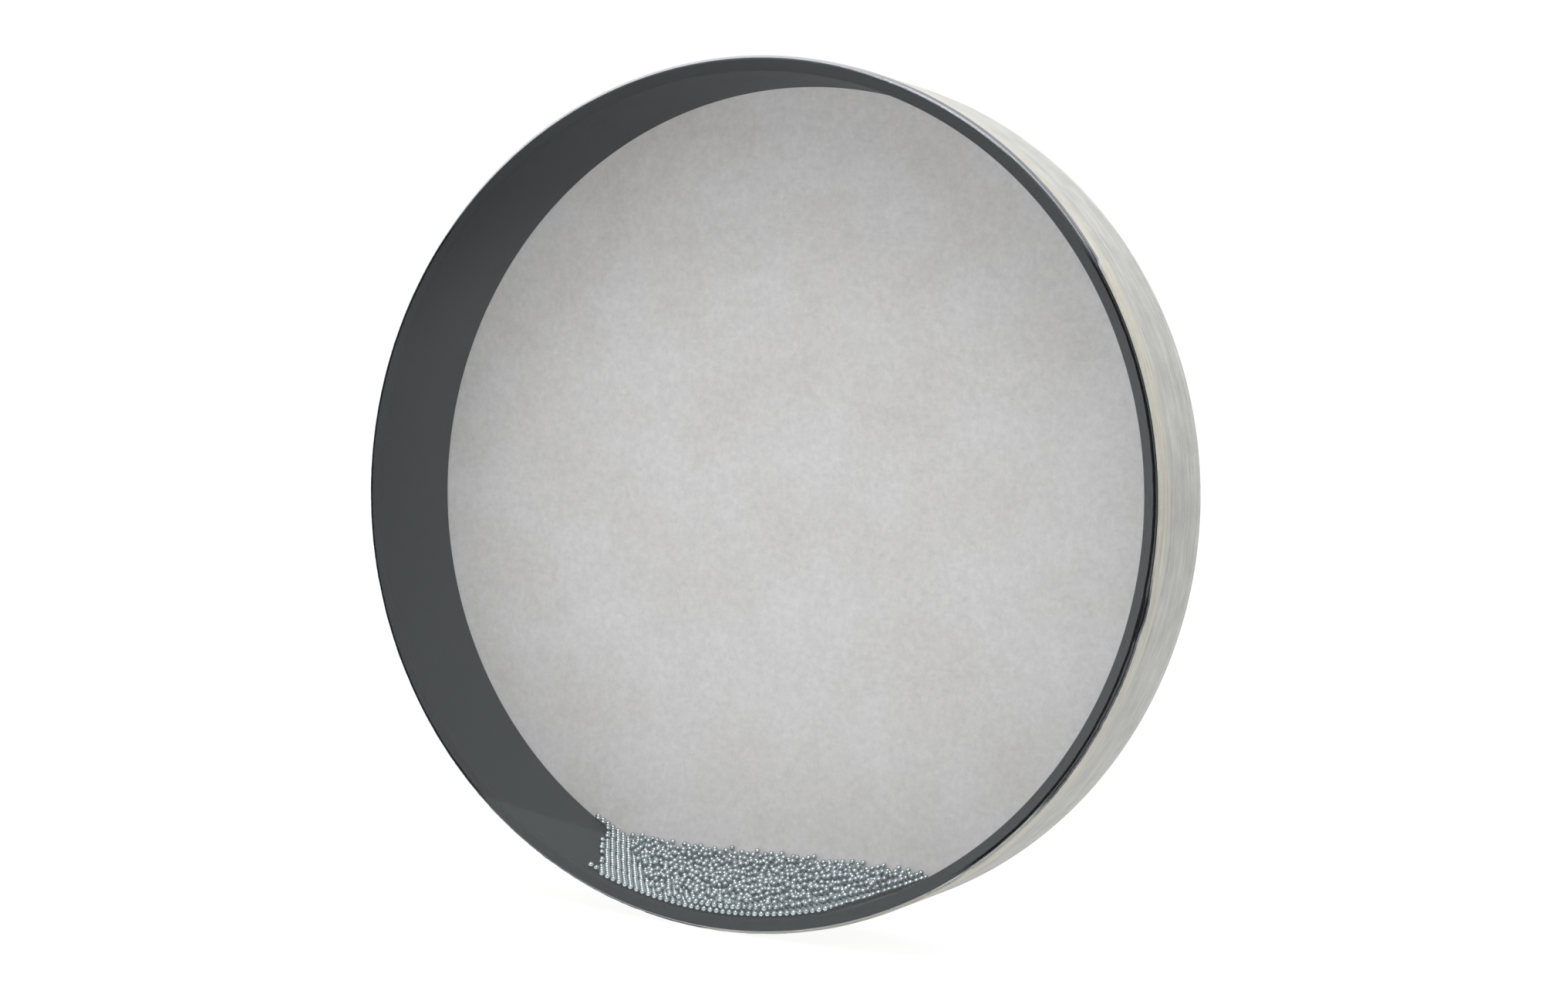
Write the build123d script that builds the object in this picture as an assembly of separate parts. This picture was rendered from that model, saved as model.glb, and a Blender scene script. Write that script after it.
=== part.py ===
from build123d import *
import os

import numpy as np
from scipy.spatial import cKDTree

# A hand-held ocean drum, in millimetres. A laminated shell carries two film heads, a clear
# one in front and a fibre-faced one behind. Each film is folded round the shell's edge and
# its collar is glued to the outside, a covering band hides both collars, and loose steel
# beads are sealed in between. The drum's axis is Y, the clear head faces -Y, +Z is up and
# the origin is the drum's centre.

# Overall size, over the covering band and over both heads
DRUM_DIAMETER = 406.4
DRUM_DEPTH = 63.5

# Shell, rounded where the films bend over it and along its inner edges
SHELL_WALL = 6.0
SHELL_INNER_ROUND = 1.8
SHELL_OUTER_ROUND = 1.0

# Film heads, folded back along the shell's outside
CLEAR_FILM = 0.25
FIBRE_FILM = 0.4
COLLAR_WIDTH = 14.0
GLUE_THICKNESS = 0.15

# Covering band, trimmed behind the films' folds and butted end to end on the left
WRAP_THICKNESS = 0.9
WRAP_TRIM = 0.2
WRAP_EDGE_ROUND = 0.3
WRAP_SEAM = 0.4
SEAM_SIDE = 180.0

# Steel beads
BEAD_DIAMETER = 3.0
BEAD_COUNT = 3150
BEAD_GAP = 0.06
BEAD_CLEARANCE = 0.25
BEAD_BANDS = ("beads_front", "beads_mid_front", "beads_mid_rear", "beads_rear")

# The resting heap, in degrees: how far the drum leans back, which banks the beads against the
# rear head, and how far it has swung, which banks them to the right. The bottom layer reaches
# so far to each side of straight down, beside the front head and beside the rear one, and its
# last rows trail further up the left.
HEAP_LEAN = 14.5
HEAP_SWING = 1.2
HEAP_LEFT = (18.6, 27.4)
HEAP_RIGHT = (17.6, 26.4)
HEAP_RAGGEDNESS = 0.6
HEAP_TAIL = 3.0
TAIL_ROWS = 2
ROW_GAP = 0.24

# How the loose beads settle
SCATTER_SEED = 4
SCATTER_PACKING = 0.5
LOOSEN_PASSES = 100
SETTLE_STEPS = 150
SETTLE_PASSES = 5
SETTLE_DROP = 0.05
SETTLE_SHAKE = 0.04
PUSH_SHARE = 0.3
LAST_PASSES = 3000

# Radii from the outside in, and the faces that the films lie on
OUTER_RADIUS = DRUM_DIAMETER / 2
COLLAR_RADIUS = OUTER_RADIUS - WRAP_THICKNESS - max(CLEAR_FILM, FIBRE_FILM)
SHELL_RADIUS = COLLAR_RADIUS - GLUE_THICKNESS
INNER_RADIUS = SHELL_RADIUS - SHELL_WALL
FRONT_SEAT = -DRUM_DEPTH / 2 + CLEAR_FILM
REAR_SEAT = DRUM_DEPTH / 2 - FIBRE_FILM
FILM_BEND = SHELL_OUTER_ROUND + GLUE_THICKNESS

# Where the bead centres can go
BEAD_RADIUS = BEAD_DIAMETER / 2
BEAD_PITCH = BEAD_DIAMETER + BEAD_GAP
SIDE_PITCH = BEAD_PITCH + ROW_GAP
ROW_PITCH = np.sqrt(BEAD_PITCH**2 - (SIDE_PITCH / 2) ** 2)
BEAD_REACH = INNER_RADIUS - BEAD_CLEARANCE - BEAD_RADIUS

FRONTWARD, REARWARD = -1, 1


def shell():
    """A plain tube whose edges are rounded, less on the outside than on the inside."""
    middle = ((INNER_RADIUS + SHELL_RADIUS) / 2, (FRONT_SEAT + REAR_SEAT) / 2)
    profile = Pos(*middle) * Rectangle(SHELL_WALL, REAR_SEAT - FRONT_SEAT)
    corners = profile.vertices().group_by(Axis.X)
    profile = fillet(corners[-1], SHELL_OUTER_ROUND)
    inner_corners = profile.vertices().group_by(Axis.X)[0]
    return revolve(fillet(inner_corners, SHELL_INNER_ROUND), Axis.Y)


def film_head(seat, outward, film):
    """A stretched film on one end of the shell, with its folded collar, as one skin."""
    collar_end = seat - outward * COLLAR_WIDTH
    inside = FilletPolyline(
        (0, seat), (COLLAR_RADIUS, seat), (COLLAR_RADIUS, collar_end), radius=FILM_BEND
    )
    face, rim = seat + outward * film, COLLAR_RADIUS + film
    outside = FilletPolyline((0, face), (rim, face), (rim, collar_end), radius=FILM_BEND + film)
    ends = Line(inside @ 0, outside @ 0) + Line(inside @ 1, outside @ 1)
    return revolve(make_face(inside + outside + ends), Axis.Y)


def glue_ring(seat, outward):
    """The cured glue between the shell and a film's collar, which holds the film's tension."""
    starts, ends = seat - outward * FILM_BEND, seat - outward * COLLAR_WIDTH
    middle = ((SHELL_RADIUS + COLLAR_RADIUS) / 2, (starts + ends) / 2)
    return revolve(Pos(*middle) * Rectangle(GLUE_THICKNESS, abs(ends - starts)), Axis.Y)


def outer_wrap():
    """The covering band, stepped inside to lie on both collars and on the shell between."""
    over_clear, over_fibre = COLLAR_RADIUS + CLEAR_FILM, COLLAR_RADIUS + FIBRE_FILM
    front_edge = FRONT_SEAT + FILM_BEND + WRAP_TRIM
    rear_edge = REAR_SEAT - FILM_BEND - WRAP_TRIM
    front_step, rear_step = FRONT_SEAT + COLLAR_WIDTH, REAR_SEAT - COLLAR_WIDTH
    outline = Polyline(
        (OUTER_RADIUS, front_edge),
        (over_clear, front_edge),
        (over_clear, front_step),
        (SHELL_RADIUS, front_step),
        (SHELL_RADIUS, rear_step),
        (over_fibre, rear_step),
        (over_fibre, rear_edge),
        (OUTER_RADIUS, rear_edge),
        close=True,
    )
    profile = make_face(outline)
    profile = fillet(profile.vertices().group_by(Axis.X)[-1], WRAP_EDGE_ROUND)
    seam_angle = np.degrees(WRAP_SEAM / OUTER_RADIUS)
    band = revolve(profile, Axis.Y, 360 - seam_angle)
    return Rot(0, SEAM_SIDE + seam_angle / 2, 0) * band


def bead_rows():
    """Where the bottom layer's rows lie along the drum, one list for each band. The rows of a
    band nestle in each other, and the bands keep clear of each other and of the heads."""
    bands = len(BEAD_BANDS)
    room = REAR_SEAT - FRONT_SEAT - bands * BEAD_DIAMETER - (bands + 1) * BEAD_CLEARANCE
    count = bands + int(room / ROW_PITCH)
    spare = (room - (count - bands) * ROW_PITCH) / (bands + 1)
    rows, end = [], FRONT_SEAT
    for numbers in np.array_split(np.arange(count), bands):
        first = end + BEAD_CLEARANCE + spare + BEAD_RADIUS
        rows.append(first + ROW_PITCH * np.arange(len(numbers)))
        end = rows[-1][-1] + BEAD_RADIUS
    return rows


def bottom_layer(rows, chance):
    """Bead centres of the layer on the wall, in rows round it that are offset by turns."""
    step = SIDE_PITCH / BEAD_REACH
    places = np.concatenate(rows)
    row_bands = np.repeat(np.arange(len(rows)), [len(row) for row in rows])
    spots, bands = [], []
    for number, (y, band) in enumerate(zip(places, row_bands)):
        spread = [np.interp(y, (FRONT_SEAT, REAR_SEAT), side) for side in (HEAP_LEFT, HEAP_RIGHT)]
        left, right = spread + chance.normal(0, HEAP_RAGGEDNESS, 2)
        if number >= len(places) - TAIL_ROWS:
            left += HEAP_TAIL
        offset = number % 2 / 2
        first = -int(np.radians(left) / step + offset)
        last = int(np.radians(right) / step - offset)
        for angle in step * (np.arange(first, last + 1) + offset):
            spots.append((BEAD_REACH * np.sin(angle), y, -BEAD_REACH * np.cos(angle)))
            bands.append(band)
    return np.array(spots), np.array(bands)


def scattered(count, down, chance):
    """The lowest of many random places above the bottom layer, one for each loose bead."""
    reach = BEAD_REACH - BEAD_PITCH
    low, high = np.array((-reach, FRONT_SEAT, -reach)), np.array((reach, REAR_SEAT, 0))
    bead_volume = np.pi * BEAD_DIAMETER**3 / 6
    places = int(SCATTER_PACKING / bead_volume * np.prod(high - low))
    spots = chance.uniform(low, high, (places, 3))
    spots = spots[np.hypot(spots[:, 0], spots[:, 2]) < reach]
    return spots[np.argsort(-(spots @ down))][:count]


def settled_beads():
    """Bead centres and band numbers, after the loose beads have come to rest."""
    chance = np.random.default_rng(SCATTER_SEED)
    rows = bead_rows()
    foremost, rearmost = np.array([(row[0], row[-1]) for row in rows]).T
    lean, swing = np.radians((HEAP_LEAN, HEAP_SWING))
    down = np.array((np.sin(swing), np.sin(lean), -np.cos(lean)))
    laid, laid_bands = bottom_layer(rows, chance)
    loose = scattered(BEAD_COUNT - len(laid), down, chance)
    loose_bands = np.digitize(loose[:, 1], (rearmost[:-1] + foremost[1:]) / 2)
    spots, bands = np.vstack((laid, loose)), np.concatenate((laid_bands, loose_bands))
    is_loose = np.arange(BEAD_COUNT) >= len(laid)

    def push_apart():
        """Move touching loose beads apart and back inside, and return the worst overlap."""
        one, other = cKDTree(spots).query_pairs(BEAD_PITCH, output_type="ndarray").T
        apart = spots[other] - spots[one]
        distance = np.linalg.norm(apart, axis=1)
        overlap = (BEAD_PITCH - distance) * (is_loose[one] | is_loose[other])
        push = apart * (PUSH_SHARE * overlap / distance)[:, None]
        for axis in range(3):
            gained = np.bincount(other, push[:, axis], BEAD_COUNT)
            lost = np.bincount(one, push[:, axis], BEAD_COUNT)
            spots[:, axis] += is_loose * (gained - lost)
        spots[:, 1] = np.clip(spots[:, 1], foremost[bands], rearmost[bands])
        from_axis = np.hypot(spots[:, 0], spots[:, 2])
        spots[:, ::2] *= np.minimum(1, BEAD_REACH / from_axis)[:, None]
        return overlap.max(initial=0)

    for _ in range(LOOSEN_PASSES):
        push_apart()
    for step in range(SETTLE_STEPS):
        shake = SETTLE_SHAKE * (1 - step / SETTLE_STEPS)
        fall = SETTLE_DROP * down + chance.normal(0, shake, spots.shape)
        spots += is_loose[:, None] * fall
        for _ in range(SETTLE_PASSES):
            push_apart()
    for _ in range(LAST_PASSES):
        if push_apart() < BEAD_GAP / 2:
            break
    nearest = cKDTree(spots).query(spots, k=2)[0][:, 1]
    print("beads", BEAD_COUNT, "least gap between two", round(nearest.min() - BEAD_DIAMETER, 3))
    return spots, bands


def bead_band(spots):
    """The beads of one band, each a ball of its own."""
    bead = Solid.make_sphere(BEAD_RADIUS)
    return Compound([bead.moved(Pos(*spot)) for spot in spots])


def drum_nodes():
    """Every piece of the drum under its name."""
    nodes = {
        "shell": shell(),
        "front_head": film_head(FRONT_SEAT, FRONTWARD, CLEAR_FILM),
        "rear_head": film_head(REAR_SEAT, REARWARD, FIBRE_FILM),
        "front_glue_ring": glue_ring(FRONT_SEAT, FRONTWARD),
        "rear_glue_ring": glue_ring(REAR_SEAT, REARWARD),
        "outer_wrap": outer_wrap(),
    }
    spots, bands = settled_beads()
    for band, name in enumerate(BEAD_BANDS):
        nodes[name] = bead_band(spots[bands == band])
    return nodes


os.makedirs("parts", exist_ok=True)
for node_name, node in drum_nodes().items():
    export_step(node, f"parts/{node_name}.step")
    print(node_name, len(node.solids()), "solids", round(node.volume), "cubic millimetres")
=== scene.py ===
# %% [markdown]
# # An ocean drum
#
# An ocean drum is a shallow frame drum with a head on both sides and thousands of loose steel
# beads sealed between them. Tilt it and the beads run round the shell with a sound like surf.
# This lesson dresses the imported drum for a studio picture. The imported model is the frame: it
# fixes every size and place, and each piece made here stands exactly where its CAD node is.

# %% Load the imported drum
import math

import bmesh
import bpy
import numpy as np
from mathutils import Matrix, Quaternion, Vector


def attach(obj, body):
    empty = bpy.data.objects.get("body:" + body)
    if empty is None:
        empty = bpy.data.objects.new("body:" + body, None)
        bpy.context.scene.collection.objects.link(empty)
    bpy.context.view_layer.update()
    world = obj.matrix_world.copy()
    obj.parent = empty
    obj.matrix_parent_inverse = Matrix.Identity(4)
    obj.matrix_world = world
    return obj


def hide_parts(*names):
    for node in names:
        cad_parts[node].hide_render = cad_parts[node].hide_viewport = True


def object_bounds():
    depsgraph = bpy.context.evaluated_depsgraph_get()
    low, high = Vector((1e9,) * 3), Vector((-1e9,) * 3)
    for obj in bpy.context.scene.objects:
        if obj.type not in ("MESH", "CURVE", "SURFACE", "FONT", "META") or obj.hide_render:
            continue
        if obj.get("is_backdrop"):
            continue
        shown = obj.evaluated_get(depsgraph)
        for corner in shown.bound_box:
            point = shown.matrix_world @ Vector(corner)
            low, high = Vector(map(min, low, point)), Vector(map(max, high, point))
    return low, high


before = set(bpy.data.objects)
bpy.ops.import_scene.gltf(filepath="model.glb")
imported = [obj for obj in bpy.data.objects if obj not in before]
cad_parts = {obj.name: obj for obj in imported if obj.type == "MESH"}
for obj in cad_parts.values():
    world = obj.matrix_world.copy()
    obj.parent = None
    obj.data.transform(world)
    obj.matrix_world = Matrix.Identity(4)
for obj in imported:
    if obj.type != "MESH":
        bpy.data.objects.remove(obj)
cad_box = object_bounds()
scene = bpy.context.scene
MM = 0.001
print("The drum spans", [round(side / MM, 1) for side in cad_box[1] - cad_box[0]], "mm")

# %% [markdown]
# ## The camera
#
# The camera stands in front of the drum and a little to its right, at a middling distance. Its
# place follows from how round the two rims look and how far apart they are: a longer lens from
# further away would flatten the drum. It is also tilted a little about its own line of sight,
# so that the resting beads slope down to the right.

# %% Place the camera
LENS_MM = 62.54
CAMERA_AZIMUTH = 25.15
CAMERA_ELEVATION = 2.49
CAMERA_ROLL = 3.88
CAMERA_DISTANCE = 1.2842
AIM = Vector((9.4, 0, 1.2)) * MM


def towards(azimuth, elevation):
    """The unit vector from the drum to a place at that azimuth and elevation, in degrees."""
    a, e = math.radians(azimuth), math.radians(elevation)
    return Vector((math.sin(a) * math.cos(e), -math.cos(a) * math.cos(e), math.sin(e)))


camera = bpy.data.objects.new("Camera", bpy.data.cameras.new("Camera"))
camera.data.lens = LENS_MM
line_of_sight = towards(CAMERA_AZIMUTH, CAMERA_ELEVATION)
camera.location = AIM + CAMERA_DISTANCE * line_of_sight
level = line_of_sight.to_track_quat("Z", "Y")
camera.rotation_euler = (level @ Quaternion((0, 0, 1), math.radians(CAMERA_ROLL))).to_euler()
scene.collection.objects.link(camera)
scene.camera = camera
print("The camera stands at", [round(x, 3) for x in camera.location], "m")

# %% [markdown]
# ## The studio
#
# The drum stands in a white light tent: a white surround, soft lamps above and a white floor
# that is lit from below too, as on a light table, so only a faint shadow lies at the drum's foot.
# Steel beads and clear film show little of their own and mostly mirror the room, so the one
# dark thing in the room matters as much as the lamps: the dark opening round the camera. It
# gives each bead a dark middle and keeps the film's fold dark. It is a dark card here, which
# the camera itself doesn't see, so the background stays white all round.

# %% Build the studio
SURROUND = 1.04
FLOOR_SIZE = 30.0
FLOOR_GAP = 0.2 * MM
FLOOR_WHITE = 0.2
FLOOR_GLOW = 0.87
CARD_WIDTH = 2.6
CARD_HEIGHT = 1.4
CARD_DISTANCE = 2.2
CARD_GREY = 0.03


def plain_material(name, shade, glow):
    """A plain matt grey for the stage, which may also glow evenly."""
    material = bpy.data.materials.new(name)
    material.use_nodes = True
    shader = material.node_tree.nodes["Principled BSDF"]
    shader.inputs["Roughness"].default_value = 1.0
    shader.inputs["Specular IOR Level"].default_value = 0.0
    shader.inputs["Base Color"].default_value = (shade, shade, shade, 1)
    shader.inputs["Emission Color"].default_value = (glow, glow, glow, 1)
    shader.inputs["Emission Strength"].default_value = 1.0
    return material


def stage_panel(name, corners, material):
    """A flat four-cornered piece of the stage."""
    mesh = bpy.data.meshes.new(name)
    mesh.from_pydata(corners, [], [range(4)])
    mesh.materials.append(material)
    panel = bpy.data.objects.new(name, mesh)
    scene.collection.objects.link(panel)
    panel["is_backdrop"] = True
    return panel


def oblong(width, height):
    """The corners of an oblong round its middle, counted round it."""
    x, y = width / 2, height / 2
    return [(-x, -y), (x, -y), (x, y), (-x, y)]


scene.view_settings.view_transform = "Standard"
scene.world = bpy.data.worlds.new("Surround")
scene.world.use_nodes = True
scene.world.node_tree.nodes["Background"].inputs["Color"].default_value = (1, 1, 1, 1)
scene.world.node_tree.nodes["Background"].inputs["Strength"].default_value = SURROUND

ground = cad_box[0].z - FLOOR_GAP
floor_corners = [(x, y, ground) for x, y in oblong(FLOOR_SIZE, FLOOR_SIZE)]
stage_panel("floor", floor_corners, plain_material("floor_white", FLOOR_WHITE, FLOOR_GLOW))
card_middle = AIM + CARD_DISTANCE * line_of_sight
card_right = line_of_sight.cross(Vector((0, 0, -1))).normalized()
card_shape = oblong(CARD_WIDTH, CARD_HEIGHT)
card_corners = [card_middle + x * card_right + Vector((0, 0, z)) for x, z in card_shape]
card_black = plain_material("opening_black", 0.0, CARD_GREY)
card = stage_panel("dark_opening", card_corners, card_black)
card.visible_camera = False
print("The floor lies", round(-ground / MM, 1), "mm below the drum's axis")

# %% [markdown]
# ## The lamps
#
# One soft lamp hangs above and in front and lights the head. The other hangs straight above the
# drum. It whitens the covering band towards the top and draws a light line along the film's
# fold at the upper right, where the fold mirrors it.

# %% Hang the lamps
FRONT_LAMP = {"power": 12.0, "size": 0.8, "azimuth": 4.0, "elevation": 62.0, "distance": 1.7}
TOP_LAMP = {"power": 13.5, "size": 1.2, "azimuth": 90.0, "elevation": 86.0, "distance": 1.6}


def hang_lamp(name, power, size, azimuth, elevation, distance):
    """A round soft lamp that faces the drum."""
    lamp = bpy.data.objects.new(name, bpy.data.lights.new(name, "AREA"))
    lamp.data.shape = "DISK"
    lamp.data.size = size
    lamp.data.energy = power
    lamp.location = distance * towards(azimuth, elevation)
    lamp.rotation_euler = lamp.location.to_track_quat("Z", "Y").to_euler()
    lamp.visible_camera = False
    scene.collection.objects.link(lamp)
    print(name, "hangs at", [round(x, 2) for x in lamp.location], "m")


hang_lamp("Front_lamp", **FRONT_LAMP)
hang_lamp("Top_lamp", **TOP_LAMP)

# %% [markdown]
# ## Writing finishes as sums
#
# Every finish below is a tree of shader nodes. Trees drawn by hand are slow to read back, so
# one small class wraps a socket and lets plain arithmetic add the Math nodes, and one method
# adds any other node from its type, its settings and the values of its sockets.

# %% A class for signals and a class for finishes
SPECK_BLUR = 0.01
# The sockets of a Mix node that mixes colours, by number.
MIX_SHARE, MIX_FIRST, MIX_SECOND, MIX_COLOUR = 0, 6, 7, 2


class Signal:
    """A number or colour that varies over a surface. Arithmetic on it adds Math nodes."""

    def __init__(self, finish, socket):
        self.finish = finish
        self.socket = socket

    def combine(self, operation, first, second):
        """Join two values, of which one or both are signals, with a Math node."""
        return self.finish.add("ShaderNodeMath", {"operation": operation}, {0: first, 1: second})

    def __add__(self, other):
        return self.combine("ADD", self, other)

    def __radd__(self, other):
        return self.combine("ADD", other, self)

    def __sub__(self, other):
        return self.combine("SUBTRACT", self, other)

    def __rsub__(self, other):
        return self.combine("SUBTRACT", other, self)

    def __mul__(self, other):
        return self.combine("MULTIPLY", self, other)

    def __rmul__(self, other):
        return self.combine("MULTIPLY", other, self)

    def __pow__(self, other):
        return self.combine("POWER", self, other)


class Finish:
    """A material being written, with its Principled shader and Object coordinates at hand."""

    def __init__(self, name):
        self.material = bpy.data.materials.new(name)
        self.material.use_nodes = True
        self.tree = self.material.node_tree
        self.shader = self.tree.nodes["Principled BSDF"]
        self.place = self.add("ShaderNodeTexCoord", output="Object")

    def feed(self, socket, value):
        """Set a socket to a plain value, or link it to a signal."""
        if isinstance(value, Signal):
            self.tree.links.new(value.socket, socket)
        else:
            socket.default_value = value

    def add(self, kind, settings=None, inputs=None, output=0):
        """Add a node of that type, with its settings first, and return one of its outputs."""
        node = self.tree.nodes.new(kind)
        for name, value in (settings or {}).items():
            setattr(node, name, value)
        for name, value in (inputs or {}).items():
            self.feed(node.inputs[name], value)
        return Signal(self, node.outputs[output])

    def wear(self, **inputs):
        """Feed the Principled shader by its sockets' names, with _ for a space."""
        for name, value in inputs.items():
            self.feed(self.shader.inputs[name.replace("_", " ")], value)

    def stretched(self, x, y, z):
        """Object coordinates, scaled along each axis."""
        return self.add("ShaderNodeMapping", {}, {"Vector": self.place, "Scale": (x, y, z)})

    def noise(self, scale=1.0, detail=2.0, roughness=0.5, where=None):
        """Smooth noise around 0.5, with about scale lumps to the metre."""
        inputs = {"Scale": scale, "Detail": detail, "Roughness": roughness}
        inputs["Vector"] = where or self.place
        return self.add("ShaderNodeTexNoise", {}, inputs, "Fac")

    def step(self, signal, low, high):
        """A smooth step of a signal, from 0 where it is low to 1 where it is high."""
        inputs = {"Value": signal, "From Min": low, "From Max": high}
        return self.add("ShaderNodeMapRange", {"interpolation_type": "SMOOTHSTEP"}, inputs)

    def window(self, signal, low, high, fade):
        """1 where a signal lies between low and high, with soft ends."""
        return self.step(signal, low - fade, low) * self.step(signal, high + fade, high)

    def along(self, axis):
        """How far a point lies along an axis of the drum, in metres."""
        return self.add("ShaderNodeSeparateXYZ", {}, {0: self.place}, axis)

    def radius(self):
        """How far a point lies from the drum's axis, in metres."""
        flat = {"operation": "MULTIPLY"}
        across = self.add("ShaderNodeVectorMath", flat, {0: self.place, 1: (1, 0, 1)})
        return self.add("ShaderNodeVectorMath", {"operation": "LENGTH"}, {0: across}, "Value")

    def specks(self, scale, size, share):
        """Round specks of a size in metres, in a share of cells, with scale cells to the metre."""
        cells = self.add("ShaderNodeTexVoronoi", {}, {"Vector": self.place, "Scale": scale})
        distance, colour = cells, Signal(self, cells.socket.node.outputs["Color"])
        chosen = self.add("ShaderNodeSeparateColor", {}, {0: colour})
        lucky = self.step(chosen, 1 - share, 1 - share + SPECK_BLUR)
        return lucky * self.step(distance, size * scale, size * scale / 2)

    def between(self, share, first, second):
        """The first colour where share is 0 and the second where it is 1."""
        inputs = {MIX_SHARE: share, MIX_FIRST: first, MIX_SECOND: second}
        return self.add("ShaderNodeMix", {"data_type": "RGBA"}, inputs, MIX_COLOUR)

    def shaded(self, colour, amount):
        """A colour made darker or lighter by a number around 1."""
        grey = self.add("ShaderNodeCombineColor", {}, {0: amount, 1: amount, 2: amount})
        settings = {"data_type": "RGBA", "blend_type": "MULTIPLY"}
        inputs = {MIX_SHARE: 1.0, MIX_FIRST: colour, MIX_SECOND: grey}
        return self.add("ShaderNodeMix", settings, inputs, MIX_COLOUR)

    def bump(self, height, depth):
        """A normal from a height signal, with the depth of a full step in metres."""
        inputs = {"Height": height, "Distance": depth, "Strength": 1.0}
        return self.add("ShaderNodeBump", {}, inputs)


def paint(red, green, blue):
    """A colour given as screen values from 0 to 255, as the linear numbers that shaders use."""
    shares = [part / 255 for part in (red, green, blue)]
    # Screen values follow the sRGB curve, which has a straight foot and then a power.
    linear = [s / 12.92 if s <= 0.04045 else ((s + 0.055) / 1.055) ** 2.4 for s in shares]
    return (*linear, 1)


BLACK = (0, 0, 0, 1)
WHITE = (1, 1, 1, 1)

# %% [markdown]
# ## Measuring the frame
#
# A turned CAD node is told by its radii, its two ends and its rounded edges. Reading these from
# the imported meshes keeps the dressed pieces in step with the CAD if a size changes.

# %% Measure the turned pieces
TOUCH = 0.01 * MM


def spots_of(node):
    """The corner points of a CAD node, as rows of x, y and z in metres."""
    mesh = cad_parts[node].data
    flat = np.empty(3 * len(mesh.vertices), np.float32)
    mesh.vertices.foreach_get("co", flat)
    return flat.reshape(-1, 3).astype(float)


def turned_sizes(node):
    """Inner radius, outer radius, front end and rear end of a node about the Y axis."""
    spots = spots_of(node)
    radii = np.hypot(spots[:, 0], spots[:, 2])
    return radii.min(), radii.max(), spots[:, 1].min(), spots[:, 1].max()


def wall_ends(node, radius):
    """Where the wall of a node that lies at a radius begins and ends along the drum."""
    spots = spots_of(node)
    wall = spots[abs(np.hypot(spots[:, 0], spots[:, 2]) - radius) < TOUCH, 1]
    return wall.min(), wall.max()


shell_inside, shell_outside, shell_front, shell_rear = turned_sizes("shell")
shell_inner_round = wall_ends("shell", shell_inside)[0] - shell_front
shell_outer_round = wall_ends("shell", shell_outside)[0] - shell_front
_, clear_rim, clear_face, clear_end = turned_sizes("front_head")
_, fibre_rim, fibre_end, fibre_face = turned_sizes("rear_head")
clear_fold = wall_ends("front_head", clear_rim)[0] - clear_face
fibre_fold = fibre_face - wall_ends("rear_head", fibre_rim)[1]
_, band_outside, band_front, band_rear = turned_sizes("outer_wrap")
shell_wall = shell_outside - shell_inside
print("Shell wall", round(shell_wall / MM, 2), "mm")
print("Rounding of its inner edges", round(shell_inner_round / MM, 2), "mm")
print("Folds of the films", round(clear_fold / MM, 2), "and", round(fibre_fold / MM, 2), "mm")

# %% [markdown]
# ## What the film mirrors
#
# Seen from the camera, the flat clear film mirrors one part of the room: the white floor at the
# drum's foot, then the room beyond it, which is dimmer towards the top and the left. Two cards
# stand for that dim room, one on the floor and one upright behind it. Only mirrors see them, so
# they take no light away from anything else. To paint such a card, think of the camera's mirror
# image behind the film: a straight line from that eye to a point of the card crosses the film
# just where the camera sees the point mirrored.

# %% Set up the dim room
WHITE_FOOT = 186 * MM
ROOM_DISTANCE = 2.2
ROOM_SIDES = (-2.8, 0.4)
ROOM_HEIGHT = 1.4
ROOM_LIGHT = 1.05
LIGHT_PER_METRE = 1.0
TOP_DIMMED = 0.38
TOP_FADE = (60 * MM, 200 * MM)
ROOM_STRENGTH = 2.0


def room_finish(eye):
    """A glow that rises to the right and falls at the top, measured on the film."""
    finish = Finish("dim_room")
    nearer = (eye.y - clear_face) * (eye.y - finish.along("Y")) ** -1
    film_side = eye.x + (finish.along("X") - eye.x) * nearer
    film_height = eye.z + (finish.along("Z") - eye.z) * nearer
    dimming = TOP_DIMMED * finish.step(film_height, *TOP_FADE)
    light = ROOM_LIGHT + LIGHT_PER_METRE * film_side - dimming
    finish.wear(Base_Color=BLACK, Specular_IOR_Level=0.0, Emission_Strength=ROOM_STRENGTH)
    finish.wear(Emission_Color=finish.between(light * (1 / ROOM_STRENGTH), BLACK, WHITE))
    return finish.material


mirrored_eye = Vector((camera.location.x, 2 * clear_face - camera.location.y, camera.location.z))
dim_room = room_finish(mirrored_eye)
room_left, room_right = ROOM_SIDES
room_floor = ground + FLOOR_GAP / 2
near_edge = [(room_left, -WHITE_FOOT, room_floor), (room_right, -WHITE_FOOT, room_floor)]
far_edge = [(room_right, -ROOM_DISTANCE, room_floor), (room_left, -ROOM_DISTANCE, room_floor)]
top_edge = [(room_left, -ROOM_DISTANCE, ROOM_HEIGHT), (room_right, -ROOM_DISTANCE, ROOM_HEIGHT)]
dim_cards = {"dim_floor": near_edge + far_edge, "dim_wall": far_edge + top_edge}
for name, corners in dim_cards.items():
    panel = stage_panel(name, corners, dim_room)
    panel.visible_camera = False
    panel.visible_diffuse = False
    panel.visible_transmission = False
    panel.visible_shadow = False
print("The camera's mirror image lies at", [round(x, 2) for x in mirrored_eye], "m")

# %% [markdown]
# ## A small lathe
#
# Shell, films and band are all turned shapes: an outline in radius and depth, swept round the
# drum's axis. A Screw modifier could do that, but the band's trimmed edge wanders and its ends
# meet in a seam, so a short function sweeps an outline that may change with the angle.

# %% The lathe
TURN_STEPS = 720
BEND_STEPS = 6
SHARP_ANGLE = 35.0
MERGE = 1e-7
SLIT = 0.03 * MM


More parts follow.
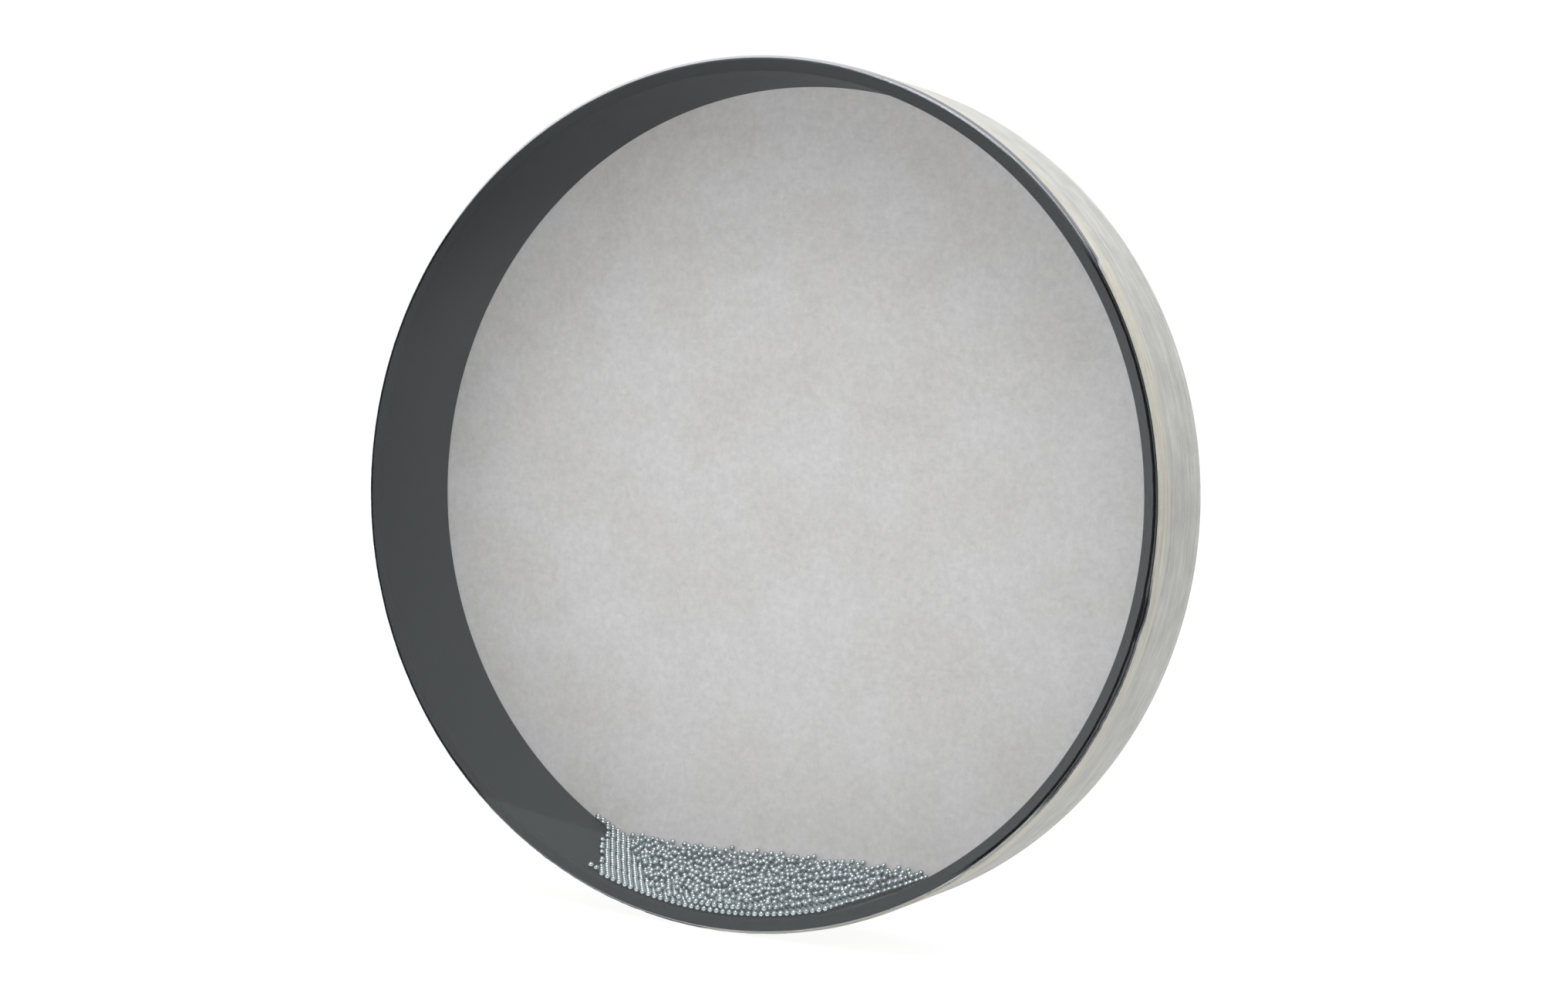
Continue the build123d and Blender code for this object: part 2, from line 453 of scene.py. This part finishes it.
def bend(centre, radius, start, end):
    """Points of an arc in the outline's plane of radius and depth, between angles in degrees."""
    angles = np.radians(np.linspace(start, end, BEND_STEPS + 1))
    return [(centre[0] + radius * math.cos(a), centre[1] + radius * math.sin(a)) for a in angles]


def turned(name, outline, angles, looped=True, seamed=False):
    """Sweep outline(angle), a list of radius and depth, over the angles. An outline that isn't
    looped runs from the axis to the axis, and a seamed sweep ends in two flat cuts."""
    made = bmesh.new()
    columns = []
    for angle in angles:
        c, s = math.cos(angle), math.sin(angle)
        columns.append([made.verts.new((r * c, y, r * s)) for r, y in outline(angle)])
    pairs = list(zip(columns, columns[1:]))
    if seamed:
        made.faces.new(columns[0])
        made.faces.new(columns[-1])
    else:
        pairs.append((columns[-1], columns[0]))
    rows = len(columns[0])
    for one, other in pairs:
        for row in range(rows if looped else rows - 1):
            after = (row + 1) % rows
            made.faces.new((one[row], one[after], other[after], other[row]))
    bmesh.ops.remove_doubles(made, verts=made.verts, dist=MERGE)
    bmesh.ops.recalc_face_normals(made, faces=made.faces)
    mesh = bpy.data.meshes.new(name)
    made.to_mesh(mesh)
    made.free()
    mesh.shade_smooth()
    mesh.set_sharp_from_angle(angle=math.radians(SHARP_ANGLE))
    piece = bpy.data.objects.new(name, mesh)
    scene.collection.objects.link(piece)
    print(name, "has", len(mesh.polygons), "faces")
    return piece


def dress(piece, finish, body, node):
    """Give a piece its finish and body, and let it stand for its CAD node."""
    if not piece.data.materials:
        piece.data.materials.append(finish)
    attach(piece, body)
    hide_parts(node)


whole_turn = np.linspace(0, 2 * math.pi, TURN_STEPS, endpoint=False)

# %% [markdown]
# ## The shell
#
# The shell is rolled from layers of paper and resin and is dark all through. Its inner edges
# are rounded over, so that beads don't catch there. Layers of paper show as faint streaks that
# run round the wall, under a satin skin with a few pale specks of dust. Its front edge face is
# painted darker, as painted shade. Just inside the film's fold a blotchy dark line of painted
# shade runs along the edge at both sides of the drum, for the shade in the gap under the fold.
# At the right, a little below the middle, the painted shade is wider and fills the fold.

# %% Turn the shell
LAMINATE_GREY = paint(38, 41, 44)
LAMINATE_RELIEF = 0.01 * MM
DUST_GREY = paint(150, 152, 152)
# Painted shade: the shell's front edge face is painted darker by this share, so it looks no
# lighter than the wall.
EDGE_SHADE = 0.3
# Painted shade: how much darker the line just inside the fold is painted.
PAINTED_FOLD_SHADE = 0.65
# How far inside the rim the painted shade line begins and ends, and how low it runs.
FOLD_LINE_INSET = (1.75 * MM, 0.85 * MM)
FOLD_LINE_LOW_END = -150 * MM
FOLD_LINE_BLUR = 0.25 * MM
FOLD_LINE_WANDER = 0.5 * MM
# The heights between which the sides get the painted fold shade, and those of its wide blot.
FOLD_LINE_SPAN = (-118 * MM, 112 * MM)
FOLD_LINE_FADE = 14 * MM
FOLD_BLOT_SPAN = (-46 * MM, -30 * MM)
FOLD_BLOT_FADE = 3 * MM


def shell_outline(angle):
    """The wall's section, a hair short of the films so that no two faces coincide."""
    front, rear = shell_front + SLIT, shell_rear - SLIT
    inner, outer = shell_inner_round, shell_outer_round
    return [
        *bend((shell_inside + inner, front + inner), inner, 180, 270),
        *bend((shell_outside - outer, front + outer), outer, 270, 360),
        *bend((shell_outside - outer, rear - outer), outer, 0, 90),
        *bend((shell_inside + inner, rear - inner), inner, 90, 180),
    ]


def fold_line_sides(finish, low_end=FOLD_LINE_SPAN[0]):
    """1 at both sides of the drum, from a low end up to where the painted fold shade ends above.
    """
    return finish.window(finish.along("Z"), low_end, FOLD_LINE_SPAN[1], FOLD_LINE_FADE)


def painted_fold_blot(finish):
    """1 at the right of the rim, where the painted fold shade is wider."""
    right = finish.step(finish.along("X"), 0, shell_inside / 2)
    return right * finish.window(finish.along("Z"), *FOLD_BLOT_SPAN, FOLD_BLOT_FADE)


def painted_fold_line(finish):
    """1 along the line of painted shade just inside the clear film's fold."""
    blotches = finish.noise(scale=160.0) - 0.5
    inside, outside = [clear_rim - distance for distance in FOLD_LINE_INSET]
    radius = finish.radius() + FOLD_LINE_WANDER * blotches
    line = finish.window(radius, inside, outside, FOLD_LINE_BLUR)
    line = line * fold_line_sides(finish, FOLD_LINE_LOW_END)
    blot = finish.step(radius, inside - FOLD_LINE_BLUR, inside) * painted_fold_blot(finish)
    return 1 - (1 - line) * (1 - blot)


def laminate_finish():
    """Dark satin laminate with streaks round the wall, and painted shade along its front edge."""
    finish = Finish("shell_laminate")
    round_the_wall = finish.stretched(x=9, y=900, z=9)
    streaks = finish.noise(detail=4.0, roughness=0.6, where=round_the_wall)
    clouds = finish.noise(scale=38.0, detail=3.0)
    grain = finish.noise(scale=1500.0)
    dust = finish.specks(scale=150.0, size=0.35 * MM, share=0.10)
    tone = 0.51 + 0.60 * streaks + 0.30 * clouds + 0.08 * grain
    base = finish.shaded(LAMINATE_GREY, tone)
    base = finish.between(0.35 * dust, base, DUST_GREY)
    # Painted shade: the front edge face is darkened, and darker still along the painted fold line.
    front = finish.step(finish.along("Y"), shell_front + shell_outer_round, shell_front)
    dark = EDGE_SHADE + PAINTED_FOLD_SHADE * painted_fold_line(finish)
    finish.wear(Base_Color=finish.between(front * dark, base, BLACK))
    finish.wear(Roughness=0.50 + 0.16 * clouds, Specular_IOR_Level=0.10)
    finish.wear(Normal=finish.bump(streaks + 0.02 * grain, LAMINATE_RELIEF))
    return finish.material


shell_piece = turned("shell_wall", shell_outline, whole_turn)
dress(shell_piece, laminate_finish(), "drum", "shell")

# %% [markdown]
# ## The two heads
#
# Each head is one sheet of film, folded round the shell's edge and glued down outside. A flat
# disc would do for a picture from the front, but the fold is what catches the light along the
# rim, so the whole skin is turned: face, fold and collar, inside and out.

# %% Turn the heads
FACE_ROWS = 5


def film_outline(face, end, rim, fold, film):
    """The section of a folded film, from the axis over its outside and back along its inside."""
    inward = 1 if end > face else -1
    outer_fold = bend((rim - fold, fold), fold, 270, 360)
    inner_fold = bend((rim - fold, fold), fold - film, 360, 270)
    flat = np.linspace(0, rim - fold, FACE_ROWS, endpoint=False)
    reach = abs(end - face)
    section = [(r, 0) for r in flat] + outer_fold
    section += [(rim, reach), (rim - film, reach)]
    section += inner_fold + [(r, film) for r in flat[::-1]]
    return [(r, face + inward * y) for r, y in section]


clear_film = shell_front - clear_face - SLIT
fibre_film = fibre_face - shell_rear - SLIT
clear_section = film_outline(clear_face, clear_end, clear_rim, clear_fold, clear_film)
fibre_section = film_outline(fibre_face, fibre_end, fibre_rim, fibre_fold, fibre_film)
clear_piece = turned("clear_head", lambda angle: clear_section, whole_turn, looped=False)
fibre_piece = turned("fibre_head", lambda angle: fibre_section, whole_turn, looped=False)

# %% [markdown]
# ## Clear film
#
# Clear film is what you see through it plus a little gloss. A transparent shader is mixed with
# a mirror: face on, each side of the film throws back a few hundredths of the light, and more
# at a slant. Handling leaves a few faint scuffs and grains of dust, which mirror less sharply.
# Along the fold line that is painted dark on the shell it mirrors hardly at all, so that the
# painted shade shows black. At the top and the lower right the sharp fold has turned the film
# a little milky.

# %% Finish the clear head
FILM_TINT = (0.985, 0.99, 0.99, 1)
FILM_SHEEN = (0.94, 0.98, 1.0, 1)
FILM_GLOSS = 0.031
FILM_SLANT_GLOSS = 0.45
SLANT_POWER = 5
DUST_GLOSS = 0.12
SMEARED = (0.5, 0.75)
# Painted shade: along the painted fold line the film mirrors less, so that the painted shade
# shows.
FOLD_LINE_DULLS = 0.9
HAZE_ABOVE = 0.11
HAZE_BELOW = 0.28
HAZE_WIDTH = 0.55 * MM
HAZE_LEFT_END = -80 * MM


def milky_fold(finish):
    """1 along the outer part of the fold, away from the sides that get the painted fold shade."""
    fold = finish.step(finish.radius(), clear_rim - HAZE_WIDTH, clear_rim - HAZE_WIDTH / 2)
    return fold * (1 - fold_line_sides(finish))


def clear_finish():
    """A clear glossy skin."""
    finish = Finish("clear_film")
    finish.tree.nodes.remove(finish.shader)
    slant = finish.add("ShaderNodeLayerWeight", {}, {"Blend": 0.5}, "Facing")
    dust = finish.specks(scale=55.0, size=0.3 * MM, share=0.12)
    smears = finish.step(finish.noise(scale=14.0, detail=3.0, roughness=0.6), *SMEARED)
    gloss = FILM_GLOSS + FILM_SLANT_GLOSS * slant**SLANT_POWER + DUST_GLOSS * dust
    gloss = gloss * (1 - FOLD_LINE_DULLS * painted_fold_line(finish))
    upper = finish.step(finish.along("Z"), 0, FOLD_LINE_SPAN[1])
    right = finish.step(finish.along("X"), HAZE_LEFT_END, HAZE_LEFT_END / 2)
    milky = milky_fold(finish)
    gloss = gloss + milky * (HAZE_ABOVE * upper + HAZE_BELOW * right * (1 - upper))
    polish = {"Color": FILM_SHEEN, "Roughness": 0.04 + 0.05 * smears + 0.5 * milky}
    mirror = finish.add("ShaderNodeBsdfAnisotropic", {}, polish)
    clear = finish.add("ShaderNodeBsdfTransparent", {}, {"Color": FILM_TINT})
    skin = finish.add("ShaderNodeMixShader", {}, {0: gloss, 1: clear, 2: mirror})
    output = finish.tree.nodes["Material Output"]
    finish.feed(output.inputs["Surface"], skin)
    return finish.material


dress(clear_piece, clear_finish(), "drum", "front_head")

# %% [markdown]
# ## Fibre-faced film
#
# The rear head is faced with a web of short fibres, pressed flat, which makes it look and feel
# like skin. Up close the web is a fine mottle of a millimetre or two, with soft clouds where
# it is thicker and a few dark specks. Layers of noise at those scales give all of it. The film
# is thin enough for light to come through from behind, which evens out the shade of the shell,
# so a translucent shader is mixed in.

# %% Finish the rear head
HEAD_GLOW = 0.50
WEB_WARM = paint(224, 222, 219)
WEB_COOL = paint(226, 224, 226)
WEB_RELIEF = 0.12 * MM
SPECK_GREY = paint(92, 92, 90)


def fibre_finish():
    """Light grey film with a pressed web of fibres."""
    finish = Finish("fibre_film")
    sideways = finish.stretched(x=240, y=400, z=700)
    upright = finish.stretched(x=700, y=400, z=240)
    clouds = finish.noise(scale=22.0, detail=3.0, roughness=0.55)
    mottle = finish.noise(scale=330.0, detail=3.0, roughness=0.6)
    fine = finish.noise(scale=900.0, roughness=0.6)
    fibres = finish.noise(detail=3.0, roughness=0.6, where=sideways)
    crossing = finish.noise(detail=3.0, roughness=0.6, where=upright)
    specks = finish.specks(scale=42.0, size=0.45 * MM, share=0.035)
    web = 0.45 * mottle + 0.25 * fine + 0.15 * fibres + 0.15 * crossing
    tone = 0.62 + 0.58 * web + 0.12 * clouds
    base = finish.shaded(finish.between(clouds, WEB_WARM, WEB_COOL), tone)
    colour = finish.between(0.75 * specks, base, SPECK_GREY)
    relief = finish.bump(web, WEB_RELIEF)
    finish.wear(Base_Color=colour, Normal=relief)
    finish.wear(Roughness=0.60 + 0.25 * web, Specular_IOR_Level=0.3)
    through = finish.add("ShaderNodeBsdfTranslucent", {}, {"Color": colour, "Normal": relief})
    skin = Signal(finish, finish.shader.outputs["BSDF"])
    mixed = finish.add("ShaderNodeMixShader", {}, {0: HEAD_GLOW, 1: skin, 2: through})
    finish.feed(finish.tree.nodes["Material Output"].inputs["Surface"], mixed)
    return finish.material


dress(fibre_piece, fibre_finish(), "drum", "rear_head")

# %% [markdown]
# ## The covering band
#
# A strip of off-white fibre sheet is rolled round the shell to hide both glued collars. It was
# trimmed by hand after gluing, so its front edge wanders: back from the fold at the upper
# right, close to it on the right, cut back in one notch just below that, and nibbled at the
# lower right. Each station below gives how far the edge lies behind the CAD band's edge at an
# angle up from the right, in degrees and millimetres.

# %% Turn the band
BAND_STEPS = 1800
BAND_SEED = 11
TRIM_STATIONS = {
    -180: 1.2,
    -115: 1.2,
    -90: 0.7,
    -62: 0.4,
    -42: 0.3,
    -36: 0.2,
    -26: 0.2,
    -16: 0.5,
    -13: 0.1,
    -11: 1.8,
    -9: 1.8,
    -7: 0.3,
    10: -0.4,
    34: -1.2,
    35: 1.4,
    55: 2.2,
    78: 2.0,
    96: 0.3,
    130: 0.2,
    150: 1.2,
    179: 1.2,
}
NIBBLE_STATIONS = {
    -180: 0.1,
    -64: 0.3,
    -52: 0.8,
    -40: 0.45,
    -20: 0.4,
    -8: 0.35,
    -5: 0.1,
    100: 0.08,
    179: 0.1,
}
FRONT_LIMIT = 1.3 * MM
NIBBLE_COUNTS = (420, 1300, 300)
COARSE_BITE = 0.7
FINE_BITE = 0.5
REAR_BITE = 0.06 * MM
BAND_EDGE_ROUND = 0.3 * MM


def seam_width():
    """The gap between the band's two ends, measured on its outside at the left."""
    spots = spots_of("outer_wrap")
    left = spots[(spots[:, 0] < 0) & (np.hypot(spots[:, 0], spots[:, 2]) > band_outside - TOUCH)]
    return 2 * abs(left[:, 2]).min()


def stationed(angle, stations):
    """A length in metres from stations given in degrees and millimetres."""
    return np.interp(math.degrees(angle), list(stations), list(stations.values())) * MM


chance = np.random.default_rng(BAND_SEED)
coarse_nibbles, fine_nibbles, rear_nibbles = [chance.normal(0, 1, n) for n in NIBBLE_COUNTS]


def nibble(angle, knots):
    """A seeded wander round the rim that closes on itself."""
    places = np.linspace(0, 2 * math.pi, len(knots), endpoint=False)
    return np.interp(angle, places, knots, period=2 * math.pi)


def band_outline(angle):
    """The band's stepped section, with its trimmed front edge and nearly straight rear edge."""
    ragged = stationed(angle, NIBBLE_STATIONS)
    bite = COARSE_BITE * nibble(angle, coarse_nibbles) + FINE_BITE * nibble(angle, fine_nibbles)
    trim = stationed(angle, TRIM_STATIONS) + ragged * bite
    front = band_front + max(-FRONT_LIMIT, trim)
    rear = band_rear - REAR_BITE * abs(nibble(angle, rear_nibbles))
    edge = BAND_EDGE_ROUND
    return [
        (clear_rim, front),
        *bend((band_outside - edge, front + edge), edge, 270, 360),
        *bend((band_outside - edge, rear - edge), edge, 0, 90),
        (fibre_rim, rear),
        (fibre_rim, fibre_end),
        (shell_outside, fibre_end),
        (shell_outside, clear_end),
        (clear_rim, clear_end),
    ]


half_seam = seam_width() / 2 / band_outside
band_angles = np.linspace(-math.pi + half_seam, math.pi - half_seam, BAND_STEPS)
band_piece = turned("covering_band", band_outline, band_angles, seamed=True)
print("The band's seam is", round(seam_width() / MM, 2), "mm wide")

# %% [markdown]
# ## Fibre sheet
#
# The sheet is made on a machine that lays its fibres lengthwise, so it shows fine streaks along
# the band. Glue has yellowed it in patches beside its front edge, and its rear edge is cleaner.
# The cut edge itself shows too: grey with glue low down and on the left. At the top it has a
# painted highlight for the light strip along the fold: bluish grey at the right, pale at the left,
# where the pale is partly the sheet's own colour.

# %% Finish the band
SHEET_GREY = paint(164, 164, 160)
SHEET_YELLOWED = paint(176, 173, 161)
SHEET_CLEAN = paint(175, 174, 171)
SHEET_RELIEF = 0.12 * MM
PORE_GREY = paint(120, 118, 108)
YELLOWED = 8.0 * MM
YELLOW_WANDER = 12.0 * MM
CLEAN = 6.0 * MM
CUT_EDGE = (0.05 * MM, 0.20 * MM)
CUT_GLUED = paint(100, 102, 106)
# Painted highlight: the cut edge's bluish grey and pale at the top stand in for the light strip
# along the fold.
CUT_PAINTED_SHEEN = paint(146, 146, 156)
CUT_PALE_AND_SHEEN = paint(198, 198, 204)
# The heights over which the cut edge changes colour.
LOW_DOWN = (-10 * MM, -30 * MM)
AT_THE_TOP = (106 * MM, 116 * MM)
# The distances to the right over which it changes.
ON_THE_LEFT = (10 * MM, -10 * MM)
SHEEN_TO_PALE = (90 * MM, 30 * MM)


def cut_edge(finish, sheet):
    """The colour of the band's cut edge: grey with glue, or bare sheet, or a painted highlight at
    the top.
    """
    height, side = finish.along("Z"), finish.along("X")
    low = finish.step(height, *LOW_DOWN) * fold_line_sides(finish)
    left = finish.step(side, *ON_THE_LEFT)
    edge = finish.between(low + left - low * left, sheet, CUT_GLUED)
    # Painted highlight at the top of the cut edge, partly the sheet's own pale colour.
    top = finish.between(finish.step(side, *SHEEN_TO_PALE), CUT_PAINTED_SHEEN, CUT_PALE_AND_SHEEN)
    return finish.between(finish.step(height, *AT_THE_TOP), edge, top)


def band_finish():
    """Off-white fibre sheet with streaks round the drum."""
    finish = Finish("wrap_fibre")
    depth = finish.along("Y")
    coarse_lines = finish.stretched(x=22, y=480, z=22)
    fine_lines = finish.stretched(x=50, y=1500, z=50)
    streaks = finish.noise(detail=4.0, roughness=0.62, where=coarse_lines)
    threads = finish.noise(where=fine_lines)
    patches = finish.noise(scale=70.0, detail=4.0, roughness=0.65)
    fine = finish.noise(scale=1100.0)
    pores = finish.specks(scale=120.0, size=0.3 * MM, share=0.06)
    wander = YELLOW_WANDER * (patches - 0.5)
    yellow = finish.step(depth + wander, band_front + 2 * YELLOWED, band_front + YELLOWED)
    clean = finish.step(depth, band_rear - CLEAN, band_rear - CLEAN / 2)
    sheet = finish.between(0.8 * yellow, SHEET_GREY, SHEET_YELLOWED)
    sheet = finish.between(0.7 * clean, sheet, SHEET_CLEAN)
    tone = 0.05 + 0.85 * streaks + 0.35 * threads + 0.15 * fine + 0.55 * patches
    sheet = finish.shaded(sheet, tone)
    sheet = finish.between(0.5 * pores, sheet, PORE_GREY)
    cut = finish.step(finish.radius(), band_outside - CUT_EDGE[0], band_outside - CUT_EDGE[1])
    finish.wear(Base_Color=finish.between(cut, sheet, cut_edge(finish, sheet)))
    finish.wear(Roughness=0.55 + 0.2 * streaks, Specular_IOR_Level=0.35)
    finish.wear(Normal=finish.bump(streaks + 0.6 * threads + 0.3 * fine, SHEET_RELIEF))
    return finish.material


dress(band_piece, band_finish(), "drum", "outer_wrap")

# %% [markdown]
# ## The glue
#
# Between shell and collars lies a thin ring of dark cured glue. Its CAD shape is right as it
# is, so only its finish changes: it shows through the clear collar wherever the band is trimmed
# far back.

# %% Finish the glue rings
GLUE_GREY = paint(32, 33, 35)
GLUE_RELIEF = 0.08 * MM


def glue_finish():
    """Dark glue, smeared on with a brush."""
    finish = Finish("glue")
    brushed = finish.stretched(x=30, y=700, z=30)
    strokes = finish.noise(detail=3.0, roughness=0.6, where=brushed)
    blobs = finish.noise(scale=160.0)
    finish.wear(Base_Color=finish.shaded(GLUE_GREY, 0.6 + 0.5 * strokes + 0.3 * blobs))
    finish.wear(Roughness=0.40 + 0.25 * blobs, Specular_IOR_Level=0.2)
    finish.wear(Normal=finish.bump(strokes + blobs, GLUE_RELIEF))
    return finish.material


glue = glue_finish()
for node in ("front_glue_ring", "rear_glue_ring"):
    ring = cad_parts[node]
    ring.data.materials.clear()
    ring.data.materials.append(glue)

# %% [markdown]
# ## The beads
#
# Some three thousand polished steel balls of 3 mm lie heaped at the bottom. Copying a ball by
# hand for each would be slow and heavy, so Geometry Nodes put one small ball on each point
# of a cloud. The points are the middles of the CAD beads: a CAD mesh stores its balls one after
# another, so a ball ends at each corner number that no triangle reaches across.

# %% Find the bead centres


def ball_starts(mesh):
    """The first corner number of each separate ball of a mesh."""
    corners = np.empty(len(mesh.loops), np.int32)
    mesh.loops.foreach_get("vertex_index", corners)
    triangles = corners.reshape(-1, 3)
    reach = np.zeros(len(mesh.vertices), int)
    np.add.at(reach, triangles.min(axis=1), 1)
    np.add.at(reach, triangles.max(axis=1), -1)
    last = np.flatnonzero(np.cumsum(reach) == 0)
    return np.concatenate(([0], last[:-1] + 1))


def ball_places(node):
    """The middle of each ball of a CAD node, and the balls' radius."""
    spots, starts = spots_of(node), ball_starts(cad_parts[node].data)
    low, high = np.minimum.reduceat(spots, starts), np.maximum.reduceat(spots, starts)
    return (low + high) / 2, (high - low).max() / 2


# %% [markdown]
# ## A node tree for beads
#
# The tree takes the point cloud and four named inputs. Each ball is turned at random, so that
# its few facets don't all catch the light alike, and stores a random number, which its finish
# reads: some balls are brighter, some duller.

# %% Build the bead tree
BEAD_FACETS = 2
BEAD_SEED = 5
TONE_NAME = "bead_tone"


def bead_tree():
    """A Geometry Nodes tree that puts a ball on each point."""
    tree = bpy.data.node_groups.new("Beads", "GeometryNodeTree")
    tree.interface.new_socket("Centres", in_out="INPUT", socket_type="NodeSocketGeometry")
    tree.interface.new_socket("Bead Radius", in_out="INPUT", socket_type="NodeSocketFloat")
    tree.interface.new_socket("Facets", in_out="INPUT", socket_type="NodeSocketInt")
    tree.interface.new_socket("Seed", in_out="INPUT", socket_type="NodeSocketInt")
    tree.interface.new_socket("Finish", in_out="INPUT", socket_type="NodeSocketMaterial")
    tree.interface.new_socket("Beads", in_out="OUTPUT", socket_type="NodeSocketGeometry")
    given = tree.nodes.new("NodeGroupInput").outputs

    def add(kind, settings, inputs, output=0):
        """Add a node with its settings and sockets, and return one of its outputs."""
        node = tree.nodes.new(kind)
        for name, value in settings.items():
            setattr(node, name, value)
        for name, value in inputs.items():
            if isinstance(value, bpy.types.NodeSocket):
                tree.links.new(value, node.inputs[name])
            else:
                node.inputs[name].default_value = value
        return node.outputs[output]

    ball_sizes = {"Radius": given["Bead Radius"], "Subdivisions": given["Facets"]}
    ball = add("GeometryNodeMeshIcoSphere", {}, ball_sizes)
    whole = 2 * math.pi
    # Of the random turn's sockets, number 1 is the greatest turn about each axis.
    any_turn = {1: (whole, whole, whole), "Seed": given["Seed"]}
    turn = add("FunctionNodeRandomValue", {"data_type": "FLOAT_VECTOR"}, any_turn)
    placing = {"Points": given["Centres"], "Instance": ball, "Rotation": turn}
    beads = add("GeometryNodeInstanceOnPoints", {}, placing)
    # Output 1 of a random value is the plain number.
    tone = add("FunctionNodeRandomValue", {"data_type": "FLOAT"}, {"Seed": given["Seed"]}, 1)
    naming = {"data_type": "FLOAT", "domain": "INSTANCE"}
    named = {"Geometry": beads, "Name": TONE_NAME, "Value": tone}
    beads = add("GeometryNodeStoreNamedAttribute", naming, named)
    beads = add("GeometryNodeRealizeInstances", {}, {"Geometry": beads})
    beads = add("GeometryNodeSetShadeSmooth", {}, {0: beads})
    beads = add("GeometryNodeSetMaterial", {}, {"Geometry": beads, "Material": given["Finish"]})
    tree.links.new(beads, tree.nodes.new("NodeGroupOutput").inputs["Beads"])
    return tree


# %% [markdown]
# ## Polished steel
#
# Bare steel balls are bright and a little blue-green. They mirror the lamps as sharp spots, the
# dark opening round the camera as a dark middle and the white floor and head round their edges.
# Rolling against each other dulls them unevenly.

# %% Finish the beads
STEEL_DULL = paint(172, 183, 186)
STEEL_BRIGHT = paint(204, 213, 215)
STEEL_RELIEF = 0.01 * MM


def steel_finish():
    """Polished steel that differs a little from ball to ball."""
    finish = Finish("bead_steel")
    tone = finish.add("ShaderNodeAttribute", {"attribute_name": TONE_NAME}, output="Fac")
    scuffs = finish.noise(scale=1400.0, detail=3.0, roughness=0.6)
    base = finish.between(tone, STEEL_DULL, STEEL_BRIGHT)
    finish.wear(Base_Color=finish.shaded(base, 0.85 + 0.2 * scuffs), Metallic=1.0)
    finish.wear(Roughness=0.06 + 0.07 * tone + 0.08 * scuffs)
    finish.wear(Normal=finish.bump(scuffs, STEEL_RELIEF))
    return finish.material


def bead_piece(node, tree, finish, seed):
    """One plain mesh with all the balls of a CAD node."""
    centres, radius = ball_places(node)
    mesh = bpy.data.meshes.new(node)
    mesh.from_pydata(centres.tolist(), [], [])
    piece = bpy.data.objects.new("steel_" + node, mesh)
    scene.collection.objects.link(piece)
    maker = piece.modifiers.new("Beads", "NODES")
    maker.node_group = tree
    values = {"Bead Radius": radius, "Facets": BEAD_FACETS, "Seed": seed, "Finish": finish}
    for socket in tree.interface.items_tree:
        if socket.name in values:
            maker[socket.identifier] = values[socket.name]
    evaluated = piece.evaluated_get(bpy.context.evaluated_depsgraph_get())
    balls = bpy.data.meshes.new_from_object(evaluated)
    piece.modifiers.clear()
    piece.data = balls
    size = round(2 * radius / MM, 2)
    print(node, "has", len(centres), "balls of", size, "mm and", len(balls.polygons), "faces")
    return piece


steel = steel_finish()
beads = bead_tree()
bead_nodes = [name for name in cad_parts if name.startswith("beads_")]
for number, node in enumerate(sorted(bead_nodes)):
    piece = bead_piece(node, beads, steel, BEAD_SEED + number)
    dress(piece, steel, node + "_run", node)

# %% [markdown]
# ## The dressed drum's size
#
# The last cell compares the dressed drum's box with the CAD's and prints how much it has grown.

# %% Compare sizes and finish
visual_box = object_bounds()
growth = (visual_box[1] - visual_box[0]) - (cad_box[1] - cad_box[0])
print("Grown by", [round(side / MM, 3) for side in growth], "mm")
